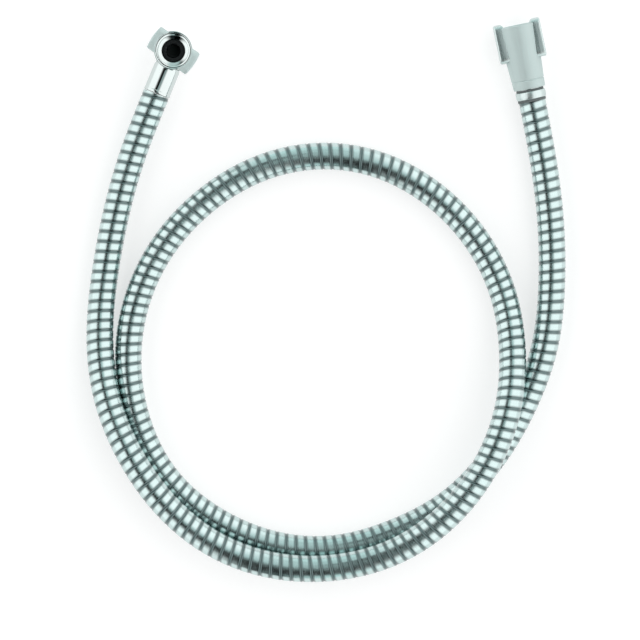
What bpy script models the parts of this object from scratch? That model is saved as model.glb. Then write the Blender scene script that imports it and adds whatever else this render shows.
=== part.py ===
"""Shower hose lying in a loop and three quarters, with a union nut on each end.

All sizes are in metres, +Z is up and the hose lies on the plane z = 0. One end
has an elbow whose nut faces up, the other has a straight end with a cone nut
that lies on its side. Both nuts turn on their flanged tailpieces.
"""
import math

import bmesh
import bpy
import numpy as np

# Clearances
SEAT_GAP = 0.0003
TURNING_GAP = 0.0005
BREAK = 0.0004
SEGMENTS = 48

# Hose
HOSE_RADIUS = 0.0085
HOSE_POINTS = 76
ROUTE = [
    (-0.1195, 0.0905, 0.0085),
    (-0.1300, 0.0535, 0.0085),
    (-0.1370, 0.0155, 0.0085),
    (-0.1400, -0.0220, 0.0115),
    (-0.1355, -0.0600, 0.0175),
    (-0.1210, -0.0960, 0.0220),
    (-0.0990, -0.1270, 0.0220),
    (-0.0690, -0.1510, 0.0220),
    (-0.0330, -0.1640, 0.0220),
    (0.0045, -0.1655, 0.0220),
    (0.0415, -0.1560, 0.0235),
    (0.0735, -0.1350, 0.0255),
    (0.0975, -0.1050, 0.0260),
    (0.1120, -0.0695, 0.0250),
    (0.1155, -0.0315, 0.0165),
    (0.1090, 0.0065, 0.0092),
    (0.0915, 0.0400, 0.0085),
    (0.0645, 0.0670, 0.0085),
    (0.0305, 0.0845, 0.0085),
    (-0.0075, 0.0890, 0.0085),
    (-0.0445, 0.0800, 0.0085),
    (-0.0770, 0.0595, 0.0085),
    (-0.1020, 0.0315, 0.0085),
    (-0.1180, -0.0035, 0.0085),
    (-0.1225, -0.0415, 0.0085),
    (-0.1155, -0.0790, 0.0085),
    (-0.0970, -0.1125, 0.0085),
    (-0.0675, -0.1370, 0.0085),
    (-0.0320, -0.1515, 0.0085),
    (0.0055, -0.1540, 0.0085),
    (0.0425, -0.1440, 0.0085),
    (0.0760, -0.1260, 0.0085),
    (0.1030, -0.0985, 0.0085),
    (0.1225, -0.0655, 0.0085),
    (0.1355, -0.0295, 0.0085),
    (0.1400, 0.0080, 0.0085),
    (0.1395, 0.0465, 0.0085),
    (0.1350, 0.0850, 0.0088),
]

# G1/2 union thread, flange and washer, the same on both ends
THREAD_BORE_RADIUS = 0.01045
THREAD_DEPTH = 0.0130
FLANGE_RADIUS = 0.0098
FLANGE_THICKNESS = 0.0020
WATERWAY_RADIUS = 0.0045
WASHER_RADIUS = 0.0069
WASHER_THICKNESS = 0.0022

# Grip wings of the nuts
WING_SWEEP_RADIUS = 0.0160
WING_WIDTH = 0.0154
WING_OVERHANG = 0.0024
WING_TIP_WALL = 0.0042
WING_CORNER = 0.0035

# Cone nut
CONE_PLACE = (0.1263, 0.1311)
CONE_LEAN = math.radians(11.8)
CONE_LENGTH = 0.0400
CONE_MOUTH_RADIUS = 0.01225
CONE_REAR_RADIUS = 0.0099
CONE_WING_REACH = 0.0148
CONE_WING_LENGTH = 0.0220
CONE_GROOVE_PLACE = 0.0050
CONE_GROOVE_WIDTH = 0.0008
CONE_GROOVE_DEPTH = 0.0003
NECK_RADIUS = 0.0079

# Collar crimped on the hose behind the cone nut
COLLAR_RADIUS = 0.00945
COLLAR_LENGTH = 0.00775
COLLAR_FRONT = 0.0027

# Elbow end
ELBOW_PLACE = (-0.0942, 0.1540)
ELBOW_LEAN = math.radians(22.4)
KNUCKLE_RADIUS = 0.0090
ELBOW_REACH = 0.0284
SLEEVE_SETBACK = 0.0010
SLEEVE_RADIUS = 0.0086
SLEEVE_WALL = 0.0009
BARREL_RADIUS = 0.0084
BOSS_RADIUS = 0.0078
BOSS_HEIGHT = 0.0188
SOCKET_RADIUS = 0.0059
SOCKET_DEPTH = 0.0066

# Elbow tailpiece and its short nut
ELBOW_NECK_RADIUS = 0.0062
ELBOW_FLANGE_LIFT = 0.0012
ELBOW_NUT_TURN = math.radians(-12.6)
ELBOW_NUT_HEIGHT = 0.0164
ELBOW_NUT_MOUTH_RADIUS = 0.0120
ELBOW_NUT_REAR_RADIUS = 0.0110
ELBOW_NUT_LIP = 0.0020
ELBOW_WING_REACH = 0.0153
ELBOW_WING_LENGTH = 0.0138

# What follows from the sizes above
CONE_TILT = math.atan((CONE_MOUTH_RADIUS - CONE_REAR_RADIUS) / CONE_LENGTH)
CONE_REST_HEIGHT = CONE_REAR_RADIUS / math.cos(CONE_TILT)
CONE_SHOULDER = CONE_LENGTH - THREAD_DEPTH
CONE_FLANGE_BASE = CONE_SHOULDER + SEAT_GAP
HOSE_END_BEHIND_CONE = SEAT_GAP + COLLAR_FRONT + SEAT_GAP
SLEEVE_END = ELBOW_REACH - SEAT_GAP
SLEEVE_START = KNUCKLE_RADIUS + SLEEVE_SETBACK
ELBOW_NUT_BASE = BOSS_HEIGHT + SEAT_GAP
ELBOW_FLANGE_BASE = ELBOW_NUT_BASE + ELBOW_NUT_LIP + SEAT_GAP + ELBOW_FLANGE_LIFT


def clear_scene():
    """Remove every object of the open scene."""
    for thing in list(bpy.data.objects):
        bpy.data.objects.remove(thing, do_unlink=True)


def new_collection(name):
    """Return a new collection linked to the scene."""
    group = bpy.data.collections.new(name)
    bpy.context.scene.collection.children.link(group)
    return group


def make_material(name, color, roughness, metallic):
    """Return a Principled BSDF material."""
    material = bpy.data.materials.new(name)
    material.use_nodes = True
    shader = material.node_tree.nodes["Principled BSDF"]
    shader.inputs["Base Color"].default_value = (*color, 1.0)
    shader.inputs["Roughness"].default_value = roughness
    shader.inputs["Metallic"].default_value = metallic
    return material


def add_part(name, data, material, parent=None):
    """Link an object of the hose, on its parent empty if it has one."""
    part = bpy.data.objects.new(name, data)
    if material:
        data.materials.append(material)
    parts.objects.link(part)
    part.parent = parent
    return part


def add_cutter(name, data, parent=None):
    """Link a helper object that only booleans use."""
    cutter = bpy.data.objects.new(name, data)
    cutters.objects.link(cutter)
    cutter.parent = parent
    cutter.hide_render = True
    cutter.display_type = "WIRE"
    return cutter


def add_empty(name, location, rotation):
    """Link an empty that carries one end of the hose."""
    empty = bpy.data.objects.new(name, None)
    parts.objects.link(empty)
    empty.location = location
    empty.rotation_euler = rotation
    empty.empty_display_size = 0.01
    return empty


def outline_mesh(name, outline, ring):
    """Return a mesh of one outline at +X, joined up where it is a ring."""
    mesh = bpy.data.meshes.new(name)
    vertices = [(radius, 0.0, height) for radius, height in outline]
    edges = [(i, i + 1) for i in range(len(outline) - 1)]
    if ring:
        edges.append((len(outline) - 1, 0))
    mesh.from_pydata(vertices, edges, [])
    return mesh


def turn(part):
    """Turn an outline once round the object's own Z axis."""
    screw = part.modifiers.new("Turn", "SCREW")
    screw.axis = "Z"
    screw.angle = math.tau
    screw.steps = SEGMENTS
    screw.render_steps = SEGMENTS
    screw.use_merge_vertices = True
    screw.merge_threshold = 0.00001
    screw.use_smooth_shade = False
    return part


def combine(part, other, operation):
    """Add, cut or intersect another object."""
    boolean = part.modifiers.new(other.name, "BOOLEAN")
    boolean.operation = operation
    boolean.object = other
    boolean.solver = "EXACT"


def rounded_slab(name, length, width, height, corner):
    """Return a box mesh whose four edges along X are rounded and whose two ends are eased."""
    mesh = bpy.data.meshes.new(name)
    form = bmesh.new()
    bmesh.ops.create_cube(form, size=1.0)
    bmesh.ops.scale(form, vec=(length, width, height), verts=form.verts)
    along = [edge for edge in form.edges if abs(edge.verts[0].co.x - edge.verts[1].co.x) > length / 2]
    bmesh.ops.bevel(form, geom=along, offset=corner, segments=6, profile=0.5, affect="EDGES")
    ends = [edge for edge in form.edges if abs(edge.verts[0].co.x + edge.verts[1].co.x) > 0.99 * length]
    bmesh.ops.bevel(form, geom=ends, offset=0.0008, segments=2, profile=0.5, affect="EDGES")
    form.to_mesh(mesh)
    form.free()
    return mesh


def wing_outline(rear_radius, mouth_radius, nut_length, wing_reach, wing_length, bore_depth):
    """Return the ring outline that the two grip wings are cut from."""
    start = nut_length - wing_length
    tip = nut_length + WING_OVERHANG
    slope = (mouth_radius - rear_radius) / nut_length
    root = rear_radius + slope * start - 0.0004
    inner = wing_reach - WING_TIP_WALL
    step = nut_length - min(bore_depth, wing_length) / 3
    return [
        (WING_SWEEP_RADIUS - 0.0010, tip),
        (WING_SWEEP_RADIUS, tip - 0.0010),
        (WING_SWEEP_RADIUS, start + 0.0010),
        (WING_SWEEP_RADIUS - 0.0010, start),
        (root, start),
        (THREAD_BORE_RADIUS + (mouth_radius - THREAD_BORE_RADIUS) / 2, step),
        (inner, nut_length - 0.0004),
        (inner, tip - 0.0008),
        (inner + 0.0008, tip),
    ]


def grip_wings(name, outline, wing_reach, wing_length, nut_length, end):
    """Return two opposite wings with rounded corners, along the nut's X axis."""
    slab_height = wing_length + WING_OVERHANG
    slab_mesh = rounded_slab(name + "_slab", 2 * wing_reach, WING_WIDTH, slab_height, WING_CORNER)
    slab = add_cutter(name + "_slab", slab_mesh, end)
    slab.location.z = nut_length + WING_OVERHANG - slab_height / 2
    wings = turn(add_cutter(name, outline_mesh(name, outline, True), end))
    combine(wings, slab, "INTERSECT")
    return wings, slab


def build_cone_nut(end, material):
    """Long tapered nut with a groove at its small end and a wing on each side."""
    slope = (CONE_MOUTH_RADIUS - CONE_REAR_RADIUS) / CONE_LENGTH
    groove_top = CONE_GROOVE_PLACE + CONE_GROOVE_WIDTH
    groove_top_radius = CONE_REAR_RADIUS + slope * groove_top
    groove_base_radius = CONE_REAR_RADIUS + slope * CONE_GROOVE_PLACE
    neck_bore = NECK_RADIUS + TURNING_GAP
    outline = [
        (CONE_MOUTH_RADIUS - BREAK, CONE_LENGTH),
        (CONE_MOUTH_RADIUS, CONE_LENGTH - BREAK),
        (groove_top_radius, groove_top),
        (groove_top_radius - CONE_GROOVE_DEPTH, groove_top - CONE_GROOVE_DEPTH),
        (groove_base_radius - CONE_GROOVE_DEPTH, CONE_GROOVE_PLACE + CONE_GROOVE_DEPTH),
        (groove_base_radius, CONE_GROOVE_PLACE),
        (CONE_REAR_RADIUS, 0.0010),
        (CONE_REAR_RADIUS - 0.0003, 0.0003),
        (CONE_REAR_RADIUS - 0.0008, 0.0),
        (neck_bore, 0.0),
        (neck_bore, CONE_SHOULDER),
        (THREAD_BORE_RADIUS, CONE_SHOULDER),
        (THREAD_BORE_RADIUS, CONE_LENGTH - 2 * BREAK),
        (THREAD_BORE_RADIUS + BREAK, CONE_LENGTH),
    ]
    nut = turn(add_part("cone_nut", outline_mesh("cone_nut", outline, True), material, end))
    sizes = (CONE_REAR_RADIUS, CONE_MOUTH_RADIUS, CONE_LENGTH, CONE_WING_REACH, CONE_WING_LENGTH)
    ring = wing_outline(*sizes, THREAD_DEPTH)
    wings, slab = grip_wings("cone_wings", ring, CONE_WING_REACH, CONE_WING_LENGTH, CONE_LENGTH, end)
    combine(nut, wings, "UNION")
    return nut


def build_elbow_nut(end, material):
    """Short nut with the same wings, standing on the elbow's boss."""
    neck_bore = ELBOW_NECK_RADIUS + TURNING_GAP
    outline = [
        (ELBOW_NUT_MOUTH_RADIUS - BREAK, ELBOW_NUT_HEIGHT),
        (ELBOW_NUT_MOUTH_RADIUS, ELBOW_NUT_HEIGHT - BREAK),
        (ELBOW_NUT_REAR_RADIUS, 0.0010),
        (ELBOW_NUT_REAR_RADIUS - 0.0003, 0.0003),
        (ELBOW_NUT_REAR_RADIUS - 0.0010, 0.0),
        (neck_bore, 0.0),
        (neck_bore, ELBOW_NUT_LIP),
        (THREAD_BORE_RADIUS - BREAK, ELBOW_NUT_LIP),
        (THREAD_BORE_RADIUS - BREAK, ELBOW_NUT_LIP + BREAK),
        (THREAD_BORE_RADIUS, ELBOW_NUT_LIP + 2 * BREAK),
        (THREAD_BORE_RADIUS, ELBOW_NUT_HEIGHT - 2 * BREAK),
        (THREAD_BORE_RADIUS + BREAK, ELBOW_NUT_HEIGHT),
    ]
    nut = turn(add_part("elbow_nut", outline_mesh("elbow_nut", outline, True), material, end))
    depth = ELBOW_NUT_HEIGHT - ELBOW_NUT_LIP
    radii = (ELBOW_NUT_REAR_RADIUS, ELBOW_NUT_MOUTH_RADIUS)
    ring = wing_outline(*radii, ELBOW_NUT_HEIGHT, ELBOW_WING_REACH, ELBOW_WING_LENGTH, depth)
    wings, slab = grip_wings("elbow_wings", ring, ELBOW_WING_REACH, ELBOW_WING_LENGTH, ELBOW_NUT_HEIGHT, end)
    combine(nut, wings, "UNION")
    for piece in (nut, wings, slab):
        piece.location.z += ELBOW_NUT_BASE
        piece.rotation_euler.z = ELBOW_NUT_TURN
    return nut


def build_cone_nipple(end, material):
    """Tailpiece that the cone nut turns on, with its flange in front."""
    top = CONE_FLANGE_BASE + FLANGE_THICKNESS
    bottom = -SEAT_GAP - COLLAR_FRONT
    outline = [
        (FLANGE_RADIUS - BREAK, top),
        (FLANGE_RADIUS, top - BREAK),
        (FLANGE_RADIUS, CONE_FLANGE_BASE),
        (NECK_RADIUS, CONE_FLANGE_BASE),
        (NECK_RADIUS, bottom + BREAK),
        (NECK_RADIUS - BREAK, bottom),
        (WATERWAY_RADIUS, bottom),
        (WATERWAY_RADIUS, top),
    ]
    return turn(add_part("cone_nipple", outline_mesh("cone_nipple", outline, True), material, end))


def build_collar(end, material):
    """Collar that grips the end of the hose behind the cone nut."""
    front = -SEAT_GAP
    back = front - COLLAR_LENGTH
    seat = front - COLLAR_FRONT
    hose_bore = HOSE_RADIUS + SEAT_GAP
    neck_bore = NECK_RADIUS + SEAT_GAP
    outline = [
        (COLLAR_RADIUS - BREAK, front),
        (COLLAR_RADIUS, front - BREAK),
        (COLLAR_RADIUS, back + BREAK),
        (COLLAR_RADIUS - BREAK, back),
        (hose_bore, back),
        (hose_bore, seat),
        (neck_bore, seat),
        (neck_bore, front),
    ]
    return turn(add_part("cone_collar", outline_mesh("cone_collar", outline, True), material, end))


def build_washer(name, base, end, material):
    """Rubber washer on the flange of a tailpiece."""
    edge = BREAK / 2
    top = base + WASHER_THICKNESS
    outline = [
        (WASHER_RADIUS - edge, top),
        (WASHER_RADIUS, top - edge),
        (WASHER_RADIUS, base + edge),
        (WASHER_RADIUS - edge, base),
        (WATERWAY_RADIUS, base),
        (WATERWAY_RADIUS, top),
    ]
    return turn(add_part(name, outline_mesh(name, outline, True), material, end))


def build_elbow_nipple(end, material):
    """Tailpiece screwed down into the elbow, which holds the short nut."""
    top = ELBOW_FLANGE_BASE + FLANGE_THICKNESS
    bottom = BOSS_HEIGHT - SOCKET_DEPTH + SEAT_GAP
    tail_radius = SOCKET_RADIUS - SEAT_GAP
    outline = [
        (FLANGE_RADIUS - BREAK, top),
        (FLANGE_RADIUS, top - BREAK),
        (FLANGE_RADIUS, ELBOW_FLANGE_BASE),
        (ELBOW_NECK_RADIUS, ELBOW_FLANGE_BASE),
        (ELBOW_NECK_RADIUS, ELBOW_NUT_BASE),
        (tail_radius, ELBOW_NUT_BASE),
        (tail_radius, bottom + BREAK),
        (tail_radius - BREAK, bottom),
        (WATERWAY_RADIUS, bottom),
        (WATERWAY_RADIUS, top),
    ]
    return turn(add_part("elbow_nipple", outline_mesh("elbow_nipple", outline, True), material, end))


def lay_down(piece):
    """Turn a piece from the elbow's upright axis to the one towards the hose."""
    piece.location.z = KNUCKLE_RADIUS
    piece.rotation_euler.x = math.pi / 2
    return piece


def build_sleeve(end, material):
    """Smooth sleeve between the hose and the elbow."""
    outline = [
        (SLEEVE_RADIUS - BREAK, SLEEVE_END),
        (SLEEVE_RADIUS, SLEEVE_END - BREAK),
        (SLEEVE_RADIUS, SLEEVE_START + BREAK),
        (SLEEVE_RADIUS - BREAK, SLEEVE_START),
        (SLEEVE_RADIUS - SLEEVE_WALL, SLEEVE_START),
        (SLEEVE_RADIUS - SLEEVE_WALL, SLEEVE_END),
    ]
    sleeve = turn(add_part("elbow_sleeve", outline_mesh("elbow_sleeve", outline, True), material, end))
    return lay_down(sleeve)


def build_elbow(end, material):
    """Elbow body: a spigot in the sleeve, a round knuckle and an upright boss."""
    spigot_radius = SLEEVE_RADIUS - SLEEVE_WALL - SEAT_GAP
    shoulder = SLEEVE_START - SEAT_GAP
    outline = [
        (0.0, SLEEVE_END),
        (spigot_radius - BREAK, SLEEVE_END),
        (spigot_radius, SLEEVE_END - BREAK),
        (spigot_radius, shoulder),
        (BARREL_RADIUS - BREAK, shoulder),
        (BARREL_RADIUS, shoulder - BREAK),
        (BARREL_RADIUS, 0.0),
        (0.0, 0.0),
    ]
    body = lay_down(turn(add_part("elbow_body", outline_mesh("elbow_body", outline, False), material, end)))

    arc = [math.pi * step / 16 for step in range(17)]
    ball = [(KNUCKLE_RADIUS * math.sin(angle), KNUCKLE_RADIUS * math.cos(angle)) for angle in arc]
    ball[0] = (0.0, KNUCKLE_RADIUS)
    ball[-1] = (0.0, -KNUCKLE_RADIUS)
    knuckle = turn(add_cutter("knuckle_ball", outline_mesh("knuckle_ball", ball, False), end))
    knuckle.location.z = KNUCKLE_RADIUS
    combine(body, knuckle, "UNION")

    post = [
        (0.0, BOSS_HEIGHT),
        (BOSS_RADIUS - BREAK, BOSS_HEIGHT),
        (BOSS_RADIUS, BOSS_HEIGHT - BREAK),
        (BOSS_RADIUS, KNUCKLE_RADIUS),
        (0.0, KNUCKLE_RADIUS),
    ]
    boss = turn(add_cutter("knuckle_boss", outline_mesh("knuckle_boss", post, False), end))
    combine(body, boss, "UNION")

    corner = KNUCKLE_RADIUS - WATERWAY_RADIUS
    socket_floor = BOSS_HEIGHT - SOCKET_DEPTH
    above = BOSS_HEIGHT + KNUCKLE_RADIUS
    upright = [
        (0.0, above),
        (SOCKET_RADIUS, above),
        (SOCKET_RADIUS, socket_floor),
        (WATERWAY_RADIUS, socket_floor),
        (WATERWAY_RADIUS, corner),
        (0.0, corner),
    ]
    well = turn(add_cutter("upright_waterway", outline_mesh("upright_waterway", upright, False), end))
    combine(body, well, "DIFFERENCE")

    level_radius = 0.9 * WATERWAY_RADIUS
    level = [
        (0.0, ELBOW_REACH + KNUCKLE_RADIUS),
        (level_radius, ELBOW_REACH + KNUCKLE_RADIUS),
        (level_radius, 0.0),
        (0.0, 0.0),
    ]
    channel = turn(add_cutter("level_waterway", outline_mesh("level_waterway", level, False), end))
    lay_down(channel)
    combine(body, channel, "DIFFERENCE")
    return body


def spline_through(points, count):
    """Return evenly spaced points on the natural cubic spline through a route."""
    points = np.array(points)
    spans = np.linalg.norm(np.diff(points, axis=0), axis=1)
    knots = np.concatenate(([0.0], np.cumsum(spans)))
    size = len(points)
    system = np.eye(size)
    pull = np.zeros((size, 3))
    for k in range(1, size - 1):
        system[k, k - 1] = spans[k - 1]
        system[k, k] = 2 * (spans[k - 1] + spans[k])
        system[k, k + 1] = spans[k]
        ahead = (points[k + 1] - points[k]) / spans[k]
        behind = (points[k] - points[k - 1]) / spans[k - 1]
        pull[k] = 6 * (ahead - behind)
    bend = np.linalg.solve(system, pull)
    walk = np.linspace(0.0, knots[-1], 6000)
    cell = np.clip(np.searchsorted(knots, walk, side="right") - 1, 0, size - 2)
    span = spans[cell][:, None]
    a = (knots[cell + 1] - walk)[:, None] / span
    b = 1 - a
    sag = ((a ** 3 - a) * bend[cell] + (b ** 3 - b) * bend[cell + 1]) * span ** 2 / 6
    curve = a * points[cell] + b * points[cell + 1] + sag
    length = np.concatenate(([0.0], np.cumsum(np.linalg.norm(np.diff(curve, axis=0), axis=1))))
    even = np.linspace(0.0, length[-1], count)
    return np.column_stack([np.interp(even, length, curve[:, axis]) for axis in range(3)])


def hose_ends():
    """Return the two points where the hose meets its end pieces."""
    elbow_end = (
        ELBOW_PLACE[0] - ELBOW_REACH * math.sin(ELBOW_LEAN),
        ELBOW_PLACE[1] - ELBOW_REACH * math.cos(ELBOW_LEAN),
        KNUCKLE_RADIUS,
    )
    back = HOSE_END_BEHIND_CONE * math.cos(CONE_TILT)
    cone_end = (
        CONE_PLACE[0] + back * math.sin(CONE_LEAN),
        CONE_PLACE[1] - back * math.cos(CONE_LEAN),
        CONE_REST_HEIGHT - HOSE_END_BEHIND_CONE * math.sin(CONE_TILT),
    )
    return elbow_end, cone_end


def build_hose(material):
    """Hose as one plain tube along its route, never below the surface."""
    elbow_end, cone_end = hose_ends()
    path = spline_through([elbow_end, *ROUTE, cone_end], HOSE_POINTS)
    path[:, 2] = np.maximum(path[:, 2], HOSE_RADIUS)
    curve = bpy.data.curves.new("hose", "CURVE")
    curve.dimensions = "3D"
    curve.bevel_depth = HOSE_RADIUS
    curve.bevel_resolution = 4
    curve.use_fill_caps = True
    spline = curve.splines.new("POLY")
    spline.points.add(HOSE_POINTS - 1)
    for point, place in zip(spline.points, path):
        point.co = (*place, 1.0)
    return add_part("hose", curve, material)


clear_scene()
parts = new_collection("shower_hose")
cutters = new_collection("cutters")

pvc = make_material("silvered_pvc", (0.62, 0.66, 0.65), 0.18, 0.0)
chrome = make_material("chrome", (0.78, 0.80, 0.80), 0.08, 1.0)
satin = make_material("satin_chrome", (0.66, 0.70, 0.69), 0.28, 1.0)
rubber = make_material("black_rubber", (0.012, 0.012, 0.013), 0.55, 0.0)

build_hose(pvc)

elbow_frame = add_empty("elbow_end", (*ELBOW_PLACE, 0.0), (0.0, 0.0, -ELBOW_LEAN))
build_sleeve(elbow_frame, chrome)
build_elbow(elbow_frame, chrome)
build_elbow_nipple(elbow_frame, chrome)
build_elbow_nut(elbow_frame, satin)
build_washer("elbow_washer", ELBOW_FLANGE_BASE + FLANGE_THICKNESS + SEAT_GAP, elbow_frame, rubber)

cone_turn = (math.pi / 2 - CONE_TILT, 0.0, math.pi + CONE_LEAN)
cone_frame = add_empty("cone_end", (*CONE_PLACE, CONE_REST_HEIGHT), cone_turn)
build_collar(cone_frame, chrome)
build_cone_nipple(cone_frame, chrome)
build_cone_nut(cone_frame, satin)
build_washer("cone_washer", CONE_FLANGE_BASE + FLANGE_THICKNESS + SEAT_GAP, cone_frame, rubber)
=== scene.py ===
"""Looks of the shower hose: a silver spiral under clear PVC and chrome end pieces.

All sizes are in metres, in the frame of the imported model: +X to the right and
+Y up in the photo, +Z towards the camera, the hose lying on z = 0.
"""
import math

import bmesh
import bpy
import numpy as np
from mathutils import Euler, Matrix, Vector


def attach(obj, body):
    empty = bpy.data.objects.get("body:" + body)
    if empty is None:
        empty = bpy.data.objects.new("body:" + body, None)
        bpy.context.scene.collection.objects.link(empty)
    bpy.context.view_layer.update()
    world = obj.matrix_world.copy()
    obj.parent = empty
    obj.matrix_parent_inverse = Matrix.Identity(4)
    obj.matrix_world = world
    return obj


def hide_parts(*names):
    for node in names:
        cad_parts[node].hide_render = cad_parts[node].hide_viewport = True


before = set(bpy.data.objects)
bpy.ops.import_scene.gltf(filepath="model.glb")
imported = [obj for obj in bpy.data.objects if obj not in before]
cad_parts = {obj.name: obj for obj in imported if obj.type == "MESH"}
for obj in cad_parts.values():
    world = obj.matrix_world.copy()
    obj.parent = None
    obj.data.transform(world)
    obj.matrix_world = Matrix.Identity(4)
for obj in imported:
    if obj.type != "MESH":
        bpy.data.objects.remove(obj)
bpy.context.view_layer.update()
bpy.context.scene.view_settings.view_transform = "Standard"

# Photo frame: metres to a pixel, and the pixel that lies over the model's origin
PHOTO_SIZE = 640
METRES_PER_PIXEL = 0.00062
ORIGIN_PIXEL = (325.8, 300.0)
LENS = 500.0
SENSOR = 36.0

# Studio, in steps of place and level. Two lights, from the photo's left to its right
LIGHT_LEVEL = 1.42
LIGHT_EDGES = [(0.23, 1.0), (0.355, 0.0), (0.54, 0.0), (0.68, 1.0)]
# The gap between them, from the photo's bottom to its top
GAP_TINT = (0.80, 1.0, 0.99)
GAP_LEVELS = [
    (0.00, 1.00),
    (0.03, 0.80),
    (0.08, 0.16),
    (0.13, 0.02),
    (0.27, 0.02),
    (0.36, 0.13),
    (0.44, 0.25),
    (0.50, 0.38),
    (0.54, 0.50),
    (0.60, 0.70),
    (0.66, 0.76),
    (0.80, 0.78),
    (0.90, 0.70),
    (0.97, 0.98),
]
# The dark strip in the gap: its right edge, and its end towards the photo's top
STRIP_EDGE = [(0.45, 0.97), (0.49, 0.0)]
STRIP_END = [(0.75, 1.0), (0.81, 0.0)]

FLOOR_SIZE = 30.0
FLOOR_DROP = 0.0002
FLOOR_GREY = 0.48
FLOOR_GLOW = 0.63

# Clear PVC, as the coat of both materials of the hose
PVC_COAT = 0.6
PVC_ROUGHNESS = 0.04
PVC_IOR = 1.53

# Meshes: edges over an angle in degrees stay sharp, and a rounding takes a share of its edges
SHARP_ANGLE = 35.0
CORNER_SHARE = 0.48
MERGE_DISTANCE = 0.000001
TURN_STEPS = 96
NUT_TURN_STEPS = 128

# Hose, with the route of part.py
HOSE_RADIUS = 0.0085
SPIRAL_PITCH = 0.00627
SPIRAL_SIDES = 36
SPIRAL_INSET = 0.00005
GROOVE_DEPTH = 0.00035
# Painted shade: share of the strip's base colour left at its shoulders, next to the groove
PAINTED_SHOULDER_SHADE = 0.45
# One turn of the spiral: place along the pitch, share of the groove's depth, painted brightness
# of the strip (painted shade at its shoulders), and whether the face that follows is groove
SPIRAL_OUTLINE = [
    (0.00, 0.72, 0.0, True),
    (0.06, 1.00, 0.0, True),
    (0.12, 1.00, 0.0, True),
    (0.18, 0.72, 0.0, True),
    (0.23, 0.00, 0.0, False),
    (0.35, 0.00, 0.7, False),
    (0.45, 0.00, 1.0, False),
    (0.75, 0.00, 1.0, False),
    (0.83, 0.00, 0.7, False),
    (0.95, 0.00, 0.0, True),
]
SPLINE_SAMPLES = 6000
HOSE_SAMPLES = 3001
HOSE_SHARP_ANGLE = 25.0
HOSE_MERGE_DISTANCE = 0.000002
ROUTE = [
    (-0.1195, 0.0905, 0.0085),
    (-0.1300, 0.0535, 0.0085),
    (-0.1370, 0.0155, 0.0085),
    (-0.1400, -0.0220, 0.0115),
    (-0.1355, -0.0600, 0.0175),
    (-0.1210, -0.0960, 0.0220),
    (-0.0990, -0.1270, 0.0220),
    (-0.0690, -0.1510, 0.0220),
    (-0.0330, -0.1640, 0.0220),
    (0.0045, -0.1655, 0.0220),
    (0.0415, -0.1560, 0.0235),
    (0.0735, -0.1350, 0.0255),
    (0.0975, -0.1050, 0.0260),
    (0.1120, -0.0695, 0.0250),
    (0.1155, -0.0315, 0.0165),
    (0.1090, 0.0065, 0.0092),
    (0.0915, 0.0400, 0.0085),
    (0.0645, 0.0670, 0.0085),
    (0.0305, 0.0845, 0.0085),
    (-0.0075, 0.0890, 0.0085),
    (-0.0445, 0.0800, 0.0085),
    (-0.0770, 0.0595, 0.0085),
    (-0.1020, 0.0315, 0.0085),
    (-0.1180, -0.0035, 0.0085),
    (-0.1225, -0.0415, 0.0085),
    (-0.1155, -0.0790, 0.0085),
    (-0.0970, -0.1125, 0.0085),
    (-0.0675, -0.1370, 0.0085),
    (-0.0320, -0.1515, 0.0085),
    (0.0055, -0.1540, 0.0085),
    (0.0425, -0.1440, 0.0085),
    (0.0760, -0.1260, 0.0085),
    (0.1030, -0.0985, 0.0085),
    (0.1225, -0.0655, 0.0085),
    (0.1355, -0.0295, 0.0085),
    (0.1400, 0.0080, 0.0085),
    (0.1395, 0.0465, 0.0085),
    (0.1350, 0.0850, 0.0088),
]

# End pieces, with the sizes of part.py, except that the cone's wings are narrower here
SEAT_GAP = 0.0003
TURNING_GAP = 0.0005
THREAD_BORE_RADIUS = 0.01045
THREAD_CREST_RADIUS = 0.0094
THREAD_PITCH = 0.001814
THREAD_SIDES = 72
THREAD_DEPTH = 0.0130
THREAD_END_GAP = 0.0016
# One flank of the thread: share of its depth, share of half its pitch
THREAD_FLANK = [(0.10, 0.80), (0.88, 0.30), (1.00, 0.14)]
THREAD_ROOT = 0.0002
THREAD_ROOT_SHARE = 0.92
THREAD_SHARP_ANGLE = 60.0
MOUTH_CHAMFER = 0.0006
MOUTH_CHAMFER_LENGTH = 0.0008
FLANGE_RADIUS = 0.0098
FLANGE_THICKNESS = 0.0020
FLANGE_RIM = 0.0003
FLANGE_DISH_DEPTH = 0.0010
FLANGE_BELOW_WASHER = 0.0002
WATERWAY_RADIUS = 0.0045
WASHER_RADIUS = 0.0069
WASHER_THICKNESS = 0.0022
WASHER_CLEARANCE = 0.0001
WING_FLATNESS = 0.0350
WING_OVERHANG = 0.0024
WING_TIP_WALL = 0.0042
WING_CORNER = 0.0035
WING_EDGE = 0.0004
WING_EDGE_STEPS = 5
WING_END_EDGE = 0.0012
WING_BURIED = 0.0006
WING_ROWS = 41
WING_LONG_SIDE = 0.002
WING_SIDE_PARTS = 8
WING_SHARP_ANGLE = 50.0

CONE_PLACE = (0.1263, 0.1311)
CONE_LEAN = math.radians(11.8)
CONE_LENGTH = 0.0400
CONE_MOUTH_RADIUS = 0.01225
CONE_REAR_RADIUS = 0.0099
CONE_WING_REACH = 0.0148
CONE_WING_LENGTH = 0.0220
CONE_WING_WIDTH = 0.0142
CONE_GROOVE_PLACE = 0.0050
CONE_GROOVE_WIDTH = 0.0008
CONE_GROOVE_DEPTH = 0.0003
CONE_GROOVE_FLANK = 0.0002
NECK_RADIUS = 0.0079
COLLAR_RADIUS = 0.00945
COLLAR_LENGTH = 0.00775
COLLAR_FRONT = 0.0027
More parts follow.
